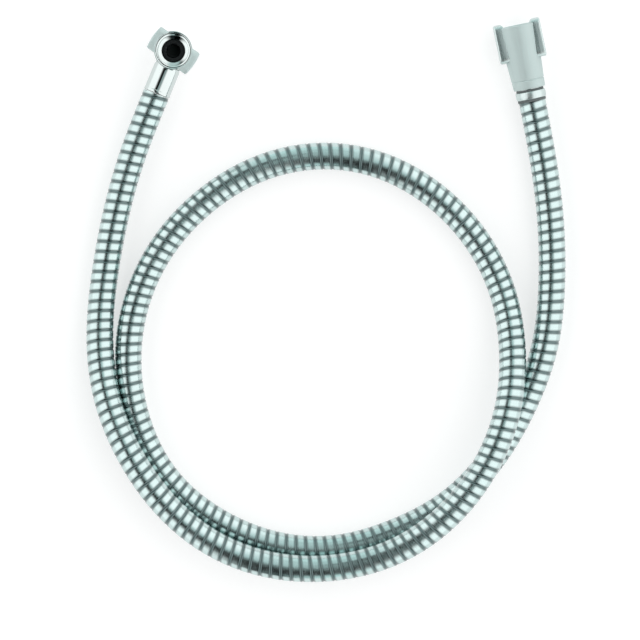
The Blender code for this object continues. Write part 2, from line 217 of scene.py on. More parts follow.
# Both ends of the collar: depth below its radius, distance from the end, reach of the rounding
COLLAR_FRONT_END = [
    (0.0009, 0.0, 0.0003),
    (0.0009, 0.0012, 0.0002),
    (0.0003, 0.0014, 0.0004),
    (0.0, 0.0024, 0.0010),
]
COLLAR_BACK_END = [
    (0.0, 0.0030, 0.0010),
    (0.0003, 0.0018, 0.0004),
    (0.0008, 0.0016, 0.0002),
    (0.0008, 0.0, 0.0002),
]
# Faces deeper than this below the collar's radius, in its bore and two end necks, get painted shade
COLLAR_DARK_DEPTH = 0.0006

ELBOW_PLACE = (-0.0942, 0.1540)
ELBOW_LEAN = math.radians(22.4)
KNUCKLE_RADIUS = 0.0090
ELBOW_REACH = 0.0284
SLEEVE_SETBACK = 0.0010
SLEEVE_RADIUS = 0.0086
SLEEVE_WALL = 0.0009
SLEEVE_BEAD_HEIGHT = 0.00018
SLEEVE_BEAD_LENGTH = 0.0016
SLEEVE_BEAD_FLANK = 0.0003
SLEEVE_NOSE_DEPTH = 0.0005
SLEEVE_NOSE_LENGTH = 0.0012
SPIGOT_INSET = 0.0002
BARREL_RADIUS = 0.0084
BOSS_RADIUS = 0.0078
BOSS_HEIGHT = 0.0188
SOCKET_RADIUS = 0.0059
SOCKET_DEPTH = 0.0066
WELL_PAST = 0.002
CHANNEL_PAST = 0.004
BALL_STEPS = 32
CAST_VOXEL = 0.0003
CAST_SOFTENING = 0.5
CAST_SOFTENING_ROUNDS = 10
CAST_SHARP_ANGLE = 70.0
# Margin of the painted shade in the waterways and the socket
DARK_MARGIN = 0.0004
ELBOW_NECK_RADIUS = 0.0062
ELBOW_FLANGE_LIFT = 0.0012
ELBOW_NUT_TURN = math.radians(-12.6)
ELBOW_NUT_HEIGHT = 0.0164
ELBOW_NUT_MOUTH_RADIUS = 0.0120
ELBOW_NUT_REAR_RADIUS = 0.0110
ELBOW_NUT_LIP = 0.0020
ELBOW_WING_REACH = 0.0153
ELBOW_WING_LENGTH = 0.0138
ELBOW_WING_WIDTH = 0.0156

# What follows from the sizes above
CHANNEL_RADIUS = 0.9 * WATERWAY_RADIUS
WATERWAY_FLOOR = KNUCKLE_RADIUS - WATERWAY_RADIUS
CONE_TILT = math.atan((CONE_MOUTH_RADIUS - CONE_REAR_RADIUS) / CONE_LENGTH)
CONE_REST_HEIGHT = CONE_REAR_RADIUS / math.cos(CONE_TILT)
CONE_SHOULDER = CONE_LENGTH - THREAD_DEPTH
CONE_FLANGE_BASE = CONE_SHOULDER + SEAT_GAP
HOSE_END_BEHIND_CONE = SEAT_GAP + COLLAR_FRONT + SEAT_GAP
SLEEVE_END = ELBOW_REACH - SEAT_GAP
SLEEVE_START = KNUCKLE_RADIUS + SLEEVE_SETBACK
ELBOW_NUT_BASE = BOSS_HEIGHT + SEAT_GAP
ELBOW_FLANGE_BASE = ELBOW_NUT_BASE + ELBOW_NUT_LIP + SEAT_GAP + ELBOW_FLANGE_LIFT


# Camera, light and floor

def add_camera():
    """Look straight down, framed as in the photo."""
    centre_x = (PHOTO_SIZE / 2 - ORIGIN_PIXEL[0]) * METRES_PER_PIXEL
    centre_y = (ORIGIN_PIXEL[1] - PHOTO_SIZE / 2) * METRES_PER_PIXEL
    distance = LENS / SENSOR * PHOTO_SIZE * METRES_PER_PIXEL
    data = bpy.data.cameras.new("camera")
    data.lens = LENS
    data.sensor_width = SENSOR
    data.sensor_height = SENSOR
    camera = bpy.data.objects.new("camera", data)
    camera.location = (centre_x, centre_y, HOSE_RADIUS + distance)
    bpy.context.scene.collection.objects.link(camera)
    bpy.context.scene.camera = camera


def math_node(tree, operation, first, second=None, third=None):
    """Add a math node and return its output."""
    node = tree.nodes.new("ShaderNodeMath")
    node.operation = operation
    for socket, value in zip(node.inputs, (first, second, third)):
        if value is None:
            continue
        if isinstance(value, (int, float)):
            socket.default_value = value
        else:
            tree.links.new(value, socket)
    return node.outputs[0]


def smooth_range(tree, value, low, high, start, end):
    """Map a value smoothly from low..high to start..end."""
    node = tree.nodes.new("ShaderNodeMapRange")
    node.interpolation_type = "SMOOTHSTEP"
    tree.links.new(value, node.inputs["Value"])
    node.inputs["From Min"].default_value = low
    node.inputs["From Max"].default_value = high
    node.inputs["To Min"].default_value = start
    node.inputs["To Max"].default_value = end
    return node.outputs["Result"]


def ramp(tree, value, stops, curve="EASE"):
    """Return a grey ramp of the value, from stops of place and level."""
    node = tree.nodes.new("ShaderNodeValToRGB")
    node.color_ramp.interpolation = curve
    marks = node.color_ramp.elements
    while len(marks) < len(stops):
        marks.new(0.5)
    for mark, (place, level) in zip(marks, stops):
        mark.position = place
        mark.color = (level, level, level, 1.0)
    tree.links.new(value, node.inputs["Fac"])
    return node.outputs["Color"]


def light_world():
    """Two wide soft lights left and right, and a darker gap with a strip in it between them."""
    world = bpy.data.worlds.new("studio")
    bpy.context.scene.world = world
    world.use_nodes = True
    tree = world.node_tree
    tree.nodes.clear()
    place = tree.nodes.new("ShaderNodeTexCoord")
    split = tree.nodes.new("ShaderNodeSeparateXYZ")
    tree.links.new(place.outputs["Generated"], split.inputs["Vector"])
    across = math_node(tree, "MULTIPLY_ADD", split.outputs["X"], 0.5, 0.5)
    along = math_node(tree, "MULTIPLY_ADD", split.outputs["Y"], 0.5, 0.5)
    lights = ramp(tree, across, LIGHT_EDGES)
    gap = ramp(tree, along, GAP_LEVELS, curve="LINEAR")
    strip = ramp(tree, across, STRIP_EDGE)
    strip = math_node(tree, "MULTIPLY", strip, ramp(tree, along, STRIP_END))
    gap = math_node(tree, "MULTIPLY", gap, math_node(tree, "SUBTRACT", 1.0, strip))
    side = math_node(tree, "MULTIPLY", lights, LIGHT_LEVEL)
    rest = math_node(tree, "SUBTRACT", 1.0, lights)
    middle = math_node(tree, "MULTIPLY", gap, rest)
    tinted = tree.nodes.new("ShaderNodeVectorMath")
    tinted.operation = "MULTIPLY_ADD"
    tree.links.new(middle, tinted.inputs[0])
    tinted.inputs[1].default_value = GAP_TINT
    tree.links.new(side, tinted.inputs[2])
    studio = tree.nodes.new("ShaderNodeBackground")
    tree.links.new(tinted.outputs["Vector"], studio.inputs["Color"])
    out = tree.nodes.new("ShaderNodeOutputWorld")
    tree.links.new(studio.outputs[0], out.inputs["Surface"])


def add_floor():
    """Floor that shows white, with the soft shadow of the hose."""
    bpy.ops.mesh.primitive_plane_add(size=FLOOR_SIZE, location=(0.0, 0.0, -FLOOR_DROP))
    floor = bpy.context.object
    floor.name = "floor"
    material = bpy.data.materials.new("floor_white")
    material.use_nodes = True
    tree = material.node_tree
    shader = tree.nodes["Principled BSDF"]
    shader.inputs["Base Color"].default_value = (FLOOR_GREY, FLOOR_GREY, FLOOR_GREY, 1.0)
    shader.inputs["Roughness"].default_value = 0.9
    shader.inputs["Specular IOR Level"].default_value = 0.0
    path = tree.nodes.new("ShaderNodeLightPath")
    seen = math_node(tree, "MAXIMUM", path.outputs["Is Camera Ray"], path.outputs["Is Glossy Ray"])
    seen = math_node(tree, "MAXIMUM", seen, path.outputs["Is Transmission Ray"])
    glow = math_node(tree, "MULTIPLY", seen, FLOOR_GLOW)
    shader.inputs["Emission Color"].default_value = (1.0, 1.0, 1.0, 1.0)
    tree.links.new(glow, shader.inputs["Emission Strength"])
    floor.data.materials.append(material)


# Materials

def principled(name, color, roughness, metallic):
    """Return a material, its node tree and its Principled shader."""
    material = bpy.data.materials.new(name)
    material.use_nodes = True
    tree = material.node_tree
    shader = tree.nodes["Principled BSDF"]
    shader.inputs["Base Color"].default_value = (*color, 1.0)
    shader.inputs["Roughness"].default_value = roughness
    shader.inputs["Metallic"].default_value = metallic
    return material, tree, shader


def noise(tree, scale, detail=3.0):
    """Return the factor of a noise texture in object space."""
    place = tree.nodes.new("ShaderNodeTexCoord")
    texture = tree.nodes.new("ShaderNodeTexNoise")
    texture.inputs["Scale"].default_value = scale
    texture.inputs["Detail"].default_value = detail
    tree.links.new(place.outputs["Object"], texture.inputs["Vector"])
    return texture.outputs["Fac"]


def tint(tree, shader, factor, dark, light):
    """Run the base colour between two colours by a factor, and return its output."""
    node = tree.nodes.new("ShaderNodeValToRGB")
    node.color_ramp.elements[0].color = (*dark, 1.0)
    node.color_ramp.elements[1].color = (*light, 1.0)
    tree.links.new(factor, node.inputs["Fac"])
    tree.links.new(node.outputs["Color"], shader.inputs["Base Color"])
    return node.outputs["Color"]


def vary_roughness(tree, shader, factor, low, high, smoothest, roughest):
    """Run the roughness between two values while a factor runs from low to high."""
    rough = smooth_range(tree, factor, low, high, smoothest, roughest)
    tree.links.new(rough, shader.inputs["Roughness"])


def coat_with_pvc(shader):
    """Lay the clear PVC over a material of the hose."""
    shader.inputs["Coat Weight"].default_value = PVC_COAT
    shader.inputs["Coat Roughness"].default_value = PVC_ROUGHNESS
    shader.inputs["Coat IOR"].default_value = PVC_IOR


def silver_band():
    """Silver strip seen through clear PVC, with painted shade that darkens it towards its two
    shoulders.
    """
    material, tree, shader = principled("silver_band", (0.55, 0.68, 0.67), 0.22, 1.0)
    plain = tint(tree, shader, noise(tree, 90.0), (0.52, 0.65, 0.64), (0.58, 0.71, 0.70))
    # Painted shade: a per-point attribute darkens the strip's base colour towards both shoulders
    painted_light_share = tree.nodes.new("ShaderNodeAttribute")
    painted_light_share.attribute_name = "painted_light_share"
    shade = smooth_range(tree, painted_light_share.outputs["Fac"], 0.0, 1.0, PAINTED_SHOULDER_SHADE, 1.0)
    shaded = tree.nodes.new("ShaderNodeVectorMath")
    shaded.operation = "SCALE"
    tree.links.new(plain, shaded.inputs[0])
    tree.links.new(shade, shaded.inputs["Scale"])
    tree.links.new(shaded.outputs["Vector"], shader.inputs["Base Color"])
    vary_roughness(tree, shader, noise(tree, 260.0), 0.3, 0.7, 0.20, 0.27)
    coat_with_pvc(shader)
    return material


def dark_groove():
    """Dark line between the turns of the strip, under the same PVC."""
    material, tree, shader = principled("dark_groove", (0.10, 0.15, 0.15), 0.30, 1.0)
    tint(tree, shader, noise(tree, 400.0), (0.08, 0.13, 0.13), (0.13, 0.18, 0.18))
    coat_with_pvc(shader)
    return material


def polished_chrome():
    """Polished chrome with faint wiping marks."""
    material, tree, shader = principled("polished_chrome", (0.62, 0.68, 0.67), 0.06, 1.0)
    tint(tree, shader, noise(tree, 60.0), (0.59, 0.65, 0.64), (0.66, 0.72, 0.71))
    vary_roughness(tree, shader, noise(tree, 500.0, detail=5.0), 0.35, 0.75, 0.05, 0.10)
    return material


def satin_chrome(name, roughness):
    """Satin chrome of the grip nuts, with faint streaks along the nut."""
    material, tree, shader = principled(name, (0.60, 0.69, 0.68), roughness, 1.0)
    place = tree.nodes.new("ShaderNodeTexCoord")
    # Stretched along Z, the nut's axis
    stretch = tree.nodes.new("ShaderNodeMapping")
    stretch.inputs["Scale"].default_value = (900.0, 900.0, 40.0)
    tree.links.new(place.outputs["Object"], stretch.inputs["Vector"])
    streaks = tree.nodes.new("ShaderNodeTexNoise")
    streaks.inputs["Scale"].default_value = 1.0
    streaks.inputs["Detail"].default_value = 3.0
    tree.links.new(stretch.outputs["Vector"], streaks.inputs["Vector"])
    streak = streaks.outputs["Fac"]
    tint(tree, shader, streak, (0.52, 0.60, 0.59), (0.68, 0.77, 0.76))
    vary_roughness(tree, shader, streak, 0.3, 0.7, roughness - 0.05, roughness + 0.06)
    bump = tree.nodes.new("ShaderNodeBump")
    bump.inputs["Strength"].default_value = 0.15
    bump.inputs["Distance"].default_value = 0.0001
    tree.links.new(streak, bump.inputs["Height"])
    tree.links.new(bump.outputs["Normal"], shader.inputs["Normal"])
    return material


def painted_shade_inside():
    """Painted shade: dark grey that stands in for the shade inside the waterways, the socket and
    the collar.
    """
    material, tree, shader = principled("painted_shade_inside", (0.11, 0.13, 0.13), 0.6, 0.0)
    tint(tree, shader, noise(tree, 700.0), (0.10, 0.12, 0.12), (0.13, 0.15, 0.15))
    return material


def black_rubber():
    """Matt black rubber of the washers."""
    material, tree, shader = principled("black_rubber", (0.009, 0.012, 0.013), 0.6, 0.0)
    tint(tree, shader, noise(tree, 900.0), (0.006, 0.009, 0.010), (0.012, 0.015, 0.016))
    shader.inputs["Specular IOR Level"].default_value = 0.25
    return material


# Shapes

def smooth(mesh, angle=SHARP_ANGLE):
    """Shade smooth, with edges over the angle kept sharp."""
    mesh.shade_smooth()
    mesh.set_sharp_from_angle(angle=math.radians(angle))


def add_piece(name, mesh, materials, body, place=Matrix.Identity(4)):
    """Link a piece in its place, dress it and let it ride on its body."""
    piece = bpy.data.objects.new(name, mesh)
    bpy.context.scene.collection.objects.link(piece)
    for material in materials:
        mesh.materials.append(material)
    piece.matrix_world = place
    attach(piece, body)
    return piece


def rounded(corners, steps=5):
    """Round an outline's corners, each a radius, a height and the reach of its rounding."""
    outline = []
    for k, (radius, height, reach) in enumerate(corners):
        here = Vector((radius, height))
        if not reach:
            outline.append(here)
            continue
        before = Vector(corners[k - 1][:2]) - here
        after = Vector(corners[(k + 1) % len(corners)][:2]) - here
        reach = min(reach, CORNER_SHARE * before.length, CORNER_SHARE * after.length)
        start = here + before.normalized() * reach
        end = here + after.normalized() * reach
        for step in range(steps + 1):
            t = step / steps
            outline.append((1 - t) ** 2 * start + 2 * t * (1 - t) * here + t ** 2 * end)
    return outline


def paint_shade_inside(mesh, radius, low=-1.0, high=1.0):
    """Give the faces inside a radius of Z the second material, which paints shade there."""
    for face in mesh.polygons:
        middle = face.center
        if math.hypot(middle.x, middle.y) < radius and low < middle.z < high:
            face.material_index = 1


def turned(corners, steps=TURN_STEPS, ring=True):
    """Return a mesh turned round Z from an outline, closed in itself when it is a ring."""
    outline = rounded(corners)
    count = len(outline)
    points = []
    faces = []
    for n in range(steps):
        angle = math.tau * n / steps
        near = n * count
        far = (n + 1) % steps * count
        for k, corner in enumerate(outline):
            points.append((corner.x * math.cos(angle), corner.x * math.sin(angle), corner.y))
            after = (k + 1) % count
            if ring or after:
                faces.append((near + k, near + after, far + after, far + k))
    mesh = bpy.data.meshes.new("turned")
    mesh.from_pydata(points, [], faces)
    tidy(mesh)
    return mesh


def lofted(loops, angle):
    """Return a closed mesh through loops of as many points each."""
    count = len(loops[0])
    points = [point for loop in loops for point in loop]
    faces = []
    for near in range(0, len(points) - count, count):
        far = near + count
        for k in range(count):
            after = (k + 1) % count
            faces.append((near + k, near + after, far + after, far + k))
    faces.append(tuple(range(count)))
    faces.append(tuple(range(len(points) - count, len(points))))
    mesh = bpy.data.meshes.new("lofted")
    mesh.from_pydata(points, [], faces)
    tidy(mesh, angle)
    return mesh


def tidy(mesh, angle=SHARP_ANGLE):
    """Merge doubled corners, point the faces outwards and shade smooth."""
    form = bmesh.new()
    form.from_mesh(mesh)
    bmesh.ops.remove_doubles(form, verts=form.verts, dist=MERGE_DISTANCE)
    bmesh.ops.dissolve_degenerate(form, edges=form.edges, dist=MERGE_DISTANCE)
    bmesh.ops.recalc_face_normals(form, faces=form.faces)
    form.to_mesh(mesh)
    form.free()
    smooth(mesh, angle)


def joined(meshes, indices):
    """Return one mesh made of several, each with its own material index."""
    form = bmesh.new()
    for mesh, index in zip(meshes, indices):
        mesh.polygons.foreach_set("material_index", [index] * len(mesh.polygons))
        form.from_mesh(mesh)
    mesh = bpy.data.meshes.new("joined")
    form.to_mesh(mesh)
    form.free()
    smooth(mesh)
    return mesh


def wing_section(inner, outer, half):
    """Return a wing's section as points of reach and width, with its corners rounded."""
    corners = [(outer, half), (outer, -half), (inner, -half), (inner, half)]
    edges = []
    for quarter, (corner_reach, corner_width) in enumerate(corners):
        middle_reach = corner_reach + (-WING_EDGE if corner_reach == outer else WING_EDGE)
        middle_width = corner_width + (-WING_EDGE if corner_width > 0 else WING_EDGE)
        for step in range(WING_EDGE_STEPS + 1):
            turn = math.pi / 2 * (quarter + step / WING_EDGE_STEPS)
            reach = middle_reach + WING_EDGE * math.sin(turn)
            edges.append((reach, middle_width + WING_EDGE * math.cos(turn)))
    # Points along the long sides, so that the pad can follow the nut's curve
    section = []
    for (reach, width), (next_reach, next_width) in zip(edges, edges[1:] + edges[:1]):
        section.append((reach, width))
        if abs(next_width - width) > WING_LONG_SIDE:
            for part in range(1, WING_SIDE_PARTS):
                share = part / WING_SIDE_PARTS
                between = reach + (next_reach - reach) * share
                section.append((between, width + (next_width - width) * share))
    return section


def wing_mesh(side, rear_radius, mouth_radius, nut_length, wing_reach, wing_length, wing_width):
    """Return one grip wing: a pad against the nut, nearly flat outside, with every edge rounded."""
    low = nut_length - wing_length
    high = nut_length + WING_OVERHANG
    slope = (mouth_radius - rear_radius) / nut_length
    loops = []
    for n in range(WING_ROWS):
        # The rows are closer together towards both ends, where the outline turns
        height = low + (high - low) * (1 - math.cos(math.pi * n / (WING_ROWS - 1))) / 2
        from_end = min(height - low, high - height)
        corner = max(WING_CORNER - from_end, 0.0)
        half = wing_width / 2 - WING_CORNER + math.sqrt(max(WING_CORNER ** 2 - corner ** 2, 0.0))
        edge = max(WING_END_EDGE - from_end, 0.0)
        fall = WING_END_EDGE - math.sqrt(max(WING_END_EDGE ** 2 - edge ** 2, 0.0))
        outer = wing_reach - fall
        # Inside, the pad is sunk in the nut, and past the nut's mouth it keeps only the tip's wall
        sunk = rear_radius + slope * min(height, nut_length) - WING_BURIED
        past = min(max((height - nut_length + WING_END_EDGE) / WING_END_EDGE, 0.0), 1.0)
        inner = sunk + (wing_reach - WING_TIP_WALL + fall - sunk) * past
        loop = []
        for reach, width in wing_section(inner, outer, half):
            share = min(max((reach - inner) / (outer - inner), 0.0), 1.0)
            hugging = math.sqrt(max(reach ** 2 - width ** 2, 0.0))
            flatter = reach - WING_FLATNESS + math.sqrt(WING_FLATNESS ** 2 - width ** 2)
            loop.append((side * (hugging + (flatter - hugging) * share), width, height))
        loops.append(loop)
    return lofted(loops, WING_SHARP_ANGLE)


def thread_mesh(low, high):
    """Return the G1/2 thread inside a nut as one helical ridge that fades at both ends."""
    steps = int((high - low) / THREAD_PITCH * THREAD_SIDES)
    fading = THREAD_SIDES / 3
    half = THREAD_PITCH / 2
    depth = THREAD_BORE_RADIUS - THREAD_CREST_RADIUS
    loops = []
    for n in range(steps + 1):
        angle = math.tau * n / THREAD_SIDES
        height = low + THREAD_PITCH * n / THREAD_SIDES
        fade = min(1.0, n / fading, (steps - n) / fading)
        flank = [(THREAD_BORE_RADIUS + THREAD_ROOT, half * THREAD_ROOT_SHARE)]
        for sunk, width in THREAD_FLANK:
            flank.append((THREAD_BORE_RADIUS - depth * sunk * fade, half * width))
        section = [(radius, -shift) for radius, shift in flank] + flank[::-1]
        loops.append([
            (radius * math.cos(angle), radius * math.sin(angle), height + shift)
            for radius, shift in section
        ])
    return lofted(loops, THREAD_SHARP_ANGLE)


def spline_through(points, count):
    """Return evenly spaced points on the natural cubic spline through a route."""
    points = np.array(points)
    spans = np.linalg.norm(np.diff(points, axis=0), axis=1)
    knots = np.concatenate(([0.0], np.cumsum(spans)))
    size = len(points)
    system = np.eye(size)
    pull = np.zeros((size, 3))
    for k in range(1, size - 1):
        system[k, k - 1] = spans[k - 1]
        system[k, k] = 2 * (spans[k - 1] + spans[k])
        system[k, k + 1] = spans[k]
        ahead = (points[k + 1] - points[k]) / spans[k]
        behind = (points[k] - points[k - 1]) / spans[k - 1]
        pull[k] = 6 * (ahead - behind)
    bend = np.linalg.solve(system, pull)
    walk = np.linspace(0.0, knots[-1], SPLINE_SAMPLES)
    cell = np.clip(np.searchsorted(knots, walk, side="right") - 1, 0, size - 2)
    span = spans[cell][:, None]
    a = (knots[cell + 1] - walk)[:, None] / span
    b = 1 - a
    sag = ((a ** 3 - a) * bend[cell] + (b ** 3 - b) * bend[cell + 1]) * span ** 2 / 6
    curve = a * points[cell] + b * points[cell + 1] + sag
    length = np.concatenate(([0.0], np.cumsum(np.linalg.norm(np.diff(curve, axis=0), axis=1))))
    even = np.linspace(0.0, length[-1], count)
    return np.column_stack([np.interp(even, length, curve[:, axis]) for axis in range(3)])


def hose_ends():
    """Return the two points where the hose meets its end pieces."""
    elbow_end = (
        ELBOW_PLACE[0] - ELBOW_REACH * math.sin(ELBOW_LEAN),
        ELBOW_PLACE[1] - ELBOW_REACH * math.cos(ELBOW_LEAN),
        KNUCKLE_RADIUS,
    )
    back = HOSE_END_BEHIND_CONE * math.cos(CONE_TILT)
    cone_end = (
        CONE_PLACE[0] + back * math.sin(CONE_LEAN),
        CONE_PLACE[1] - back * math.cos(CONE_LEAN),
        CONE_REST_HEIGHT - HOSE_END_BEHIND_CONE * math.sin(CONE_TILT),
    )
    return elbow_end, cone_end


def hose_frames(count):
    """Return the route's points, with a level and an upward direction square to it at each."""
    elbow_end, cone_end = hose_ends()
    path = spline_through([elbow_end, *ROUTE, cone_end], count)
    path[:, 2] = np.maximum(path[:, 2], HOSE_RADIUS)
    ahead = np.gradient(path, axis=0)
    ahead /= np.linalg.norm(ahead, axis=1)[:, None]
    level = np.cross((0.0, 0.0, 1.0), ahead)
    level /= np.linalg.norm(level, axis=1)[:, None]
    upward = np.cross(ahead, level)
    return path, level, upward


def read_along(rows, walked, places):
    """Read rows of three numbers, known at the places walked, at other places along the hose."""
    return np.column_stack([np.interp(places, walked, rows[:, axis]) for axis in range(3)])


def hose_mesh():
    """Wind the spiral's outline along the route as one closed tube, and return it and its path."""
    path, level, upward = hose_frames(HOSE_SAMPLES)
    total = float(np.linalg.norm(np.diff(path, axis=0), axis=1).sum())
    walked = np.linspace(0.0, total, HOSE_SAMPLES)
    turns = int(math.ceil(total / SPIRAL_PITCH)) + 1
    step = np.arange(-SPIRAL_SIDES, turns * SPIRAL_SIDES)
    angle = math.tau * step / SPIRAL_SIDES
    vertices = []
    painted_light_rows = []
    for share, depth, painted_light_share, _ in SPIRAL_OUTLINE:
        wound = (step / SPIRAL_SIDES + share) * SPIRAL_PITCH
        along = np.clip(wound, 0.0, total)
        # What lies past an end is drawn to it, without the groove
        radius = HOSE_RADIUS - SPIRAL_INSET - GROOVE_DEPTH * depth * (wound == along)
        sideways = read_along(level, walked, along) * np.cos(angle)[:, None]
        ring = sideways + read_along(upward, walked, along) * np.sin(angle)[:, None]
        vertices.append(read_along(path, walked, along) + ring * radius[:, None])
        painted_light_rows.append(np.full(len(step), painted_light_share))
    rows = len(step)
    count = len(SPIRAL_OUTLINE)
    points = np.stack(vertices, axis=1).reshape(-1, 3)
    faces = []
    marks = []
    for n in range(rows - 1):
        near = n * count
        for j in range(count):
            # The outline's last place meets the first of the next turn
            last = j == count - 1
            up = n + SPIRAL_SIDES if last else n
            if up + 1 >= rows:
                continue
            far = up * count + (0 if last else j + 1)
            faces.append((near + j, near + count + j, far + count, far))
            marks.append(1 if SPIRAL_OUTLINE[j][3] else 0)
    mesh = bpy.data.meshes.new("hose_spiral")
    mesh.from_pydata(points.tolist(), [], faces)
    mesh.polygons.foreach_set("material_index", marks)
    # Painted shade kept per point: 1 on the strip's middle, falling to 0 at its shoulders and in
    # the groove
    painted_light_layer = mesh.attributes.new("painted_light_share", "FLOAT", "POINT")
    painted_light_layer.data.foreach_set("value", np.stack(painted_light_rows, axis=1).ravel())
    form = bmesh.new()
    form.from_mesh(mesh)
    bmesh.ops.remove_doubles(form, verts=form.verts, dist=HOSE_MERGE_DISTANCE)
    bmesh.ops.dissolve_degenerate(form, edges=form.edges, dist=HOSE_MERGE_DISTANCE)
    rims = [edge for edge in form.edges if edge.is_boundary]
    bmesh.ops.holes_fill(form, edges=rims, sides=0)
    bmesh.ops.recalc_face_normals(form, faces=form.faces)
    form.to_mesh(mesh)
    form.free()
    smooth(mesh, HOSE_SHARP_ANGLE)
    return mesh, path


def add_hose():
    """Add the spiral hose in place of the plain tube."""
    mesh, path = hose_mesh()
    hose = add_piece("hose_spiral", mesh, [silver_band(), dark_groove()], "hose")
    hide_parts("hose")
    return hose, path


# Places

def elbow_place(height=0.0, turn=0.0):
    """Return the place of an upright piece of the elbow end."""
    stand = Matrix.Translation((*ELBOW_PLACE, height))
    return stand @ Matrix.Rotation(turn - ELBOW_LEAN, 4, "Z")


def laid_place():
    """Return the place of a piece on the elbow's axis towards the hose."""
    return elbow_place(KNUCKLE_RADIUS) @ Matrix.Rotation(math.pi / 2, 4, "X")


def cone_place():
    """Return the place of the pieces of the cone end, with Z towards its mouth."""
    tip = Euler((math.pi / 2 - CONE_TILT, 0.0, math.pi + CONE_LEAN)).to_matrix().to_4x4()
    return Matrix.Translation((*CONE_PLACE, CONE_REST_HEIGHT)) @ tip


# Pieces

def add_sleeve():
    """Smooth sleeve between hose and elbow, with a bead at one end and a soft nose at the other."""
    tube = SLEEVE_RADIUS - SLEEVE_BEAD_HEIGHT
    inner = SLEEVE_RADIUS - SLEEVE_WALL
    bead = SLEEVE_END - SLEEVE_BEAD_LENGTH
    mesh = turned([
        (SLEEVE_RADIUS, SLEEVE_END, 0.0006),
        (SLEEVE_RADIUS, bead, 0.0003),
        (tube, bead - SLEEVE_BEAD_FLANK, 0.0003),
        (tube, SLEEVE_START + SLEEVE_NOSE_LENGTH, 0.0004),
        (SLEEVE_RADIUS - SLEEVE_NOSE_DEPTH, SLEEVE_START, 0.0005),
        (inner, SLEEVE_START, 0.0),
        (inner, SLEEVE_END, 0.0),
    ])
    sleeve = add_piece("sleeve", mesh, [chrome], "hose", laid_place())
    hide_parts("elbow_sleeve")


def elbow_forms():
    """Return the elbow's barrel, and the forms joined to it and cut from it."""
    spigot = SLEEVE_RADIUS - SLEEVE_WALL - SEAT_GAP
    spigot_end = SLEEVE_END - SPIGOT_INSET
    shoulder = SLEEVE_START - SEAT_GAP
    barrel = turned([
        (0.0, spigot_end, 0.0),
        (spigot, spigot_end, 0.0005),
        (spigot, shoulder, 0.0),
        (BARREL_RADIUS, shoulder, 0.0007),
        (BARREL_RADIUS, 0.0, 0.0),
        (0.0, 0.0, 0.0),
    ], ring=False)
    arc = [math.pi * step / BALL_STEPS for step in range(BALL_STEPS + 1)]
    ball = turned([
        (KNUCKLE_RADIUS * math.sin(angle), KNUCKLE_RADIUS * math.cos(angle), 0.0)
        for angle in arc
    ], ring=False)
    boss = turned([
        (0.0, BOSS_HEIGHT, 0.0),
        (BOSS_RADIUS, BOSS_HEIGHT, 0.0006),
        (BOSS_RADIUS, KNUCKLE_RADIUS, 0.0),
        (0.0, KNUCKLE_RADIUS, 0.0),
    ], ring=False)
    well = turned([
        (0.0, BOSS_HEIGHT + WELL_PAST, 0.0),
        (SOCKET_RADIUS, BOSS_HEIGHT + WELL_PAST, 0.0),
        (SOCKET_RADIUS, BOSS_HEIGHT - SOCKET_DEPTH, 0.0),
        (WATERWAY_RADIUS, BOSS_HEIGHT - SOCKET_DEPTH, 0.0),
        (WATERWAY_RADIUS, WATERWAY_FLOOR, 0.0),
        (0.0, WATERWAY_FLOOR, 0.0),
    ], ring=False)
    channel = turned([
        (0.0, ELBOW_REACH + CHANNEL_PAST, 0.0),
        (CHANNEL_RADIUS, ELBOW_REACH + CHANNEL_PAST, 0.0),
        (CHANNEL_RADIUS, 0.0, 0.0),
        (0.0, 0.0, 0.0),
    ], ring=False)
    lift = Matrix.Translation((0.0, 0.0, KNUCKLE_RADIUS))
    lying = lift @ Matrix.Rotation(math.pi / 2, 4, "X")
    barrel.transform(lying)
    channel.transform(lying)
    ball.transform(lift)
    return barrel, [
        ("ball", ball, "UNION"),
        ("boss", boss, "UNION"),
        ("well", well, "DIFFERENCE"),
        ("channel", channel, "DIFFERENCE"),
    ]


def cast(first, others):
    """Join or cut the other forms, and melt the whole into one soft mesh."""
    core = bpy.data.objects.new("core", first)
    bpy.context.scene.collection.objects.link(core)
    helpers = [core]
    for name, mesh, operation in others:
        helper = bpy.data.objects.new(name, mesh)
        bpy.context.scene.collection.objects.link(helper)
        helpers.append(helper)
        boolean = core.modifiers.new(name, "BOOLEAN")
        boolean.operation = operation
        boolean.object = helper
        boolean.solver = "EXACT"
    remesh = core.modifiers.new("cast", "REMESH")
    remesh.mode = "VOXEL"
    remesh.voxel_size = CAST_VOXEL
    soft = core.modifiers.new("polish", "SMOOTH")
    soft.factor = CAST_SOFTENING
    soft.iterations = CAST_SOFTENING_ROUNDS
    view = bpy.context.evaluated_depsgraph_get()
    mesh = bpy.data.meshes.new_from_object(core.evaluated_get(view))
    for helper in helpers:
        bpy.data.objects.remove(helper, do_unlink=True)
    smooth(mesh, CAST_SHARP_ANGLE)
    return mesh


def add_elbow():
    """Elbow body as one soft casting: barrel, round knuckle and boss with its socket."""
    mesh = cast(*elbow_forms())
    # Painted shade on the faces of the well and the socket, which get the dark second material
    low = WATERWAY_FLOOR - DARK_MARGIN
    high = BOSS_HEIGHT - DARK_MARGIN
    paint_shade_inside(mesh, SOCKET_RADIUS + DARK_MARGIN / 2, low, high)
    elbow = add_piece("elbow_casting", mesh, [chrome, inside], "hose", elbow_place())
    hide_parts("elbow_body")


def add_tailpiece(name, node, corners, place):
    """Tailpiece with a dished flange that centres the washer."""
    mesh = turned(corners)
    # Painted shade in the waterway
    paint_shade_inside(mesh, WATERWAY_RADIUS + DARK_MARGIN)
    piece = add_piece(name, mesh, [chrome, inside], "hose", place)
    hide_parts(node)
    return piece


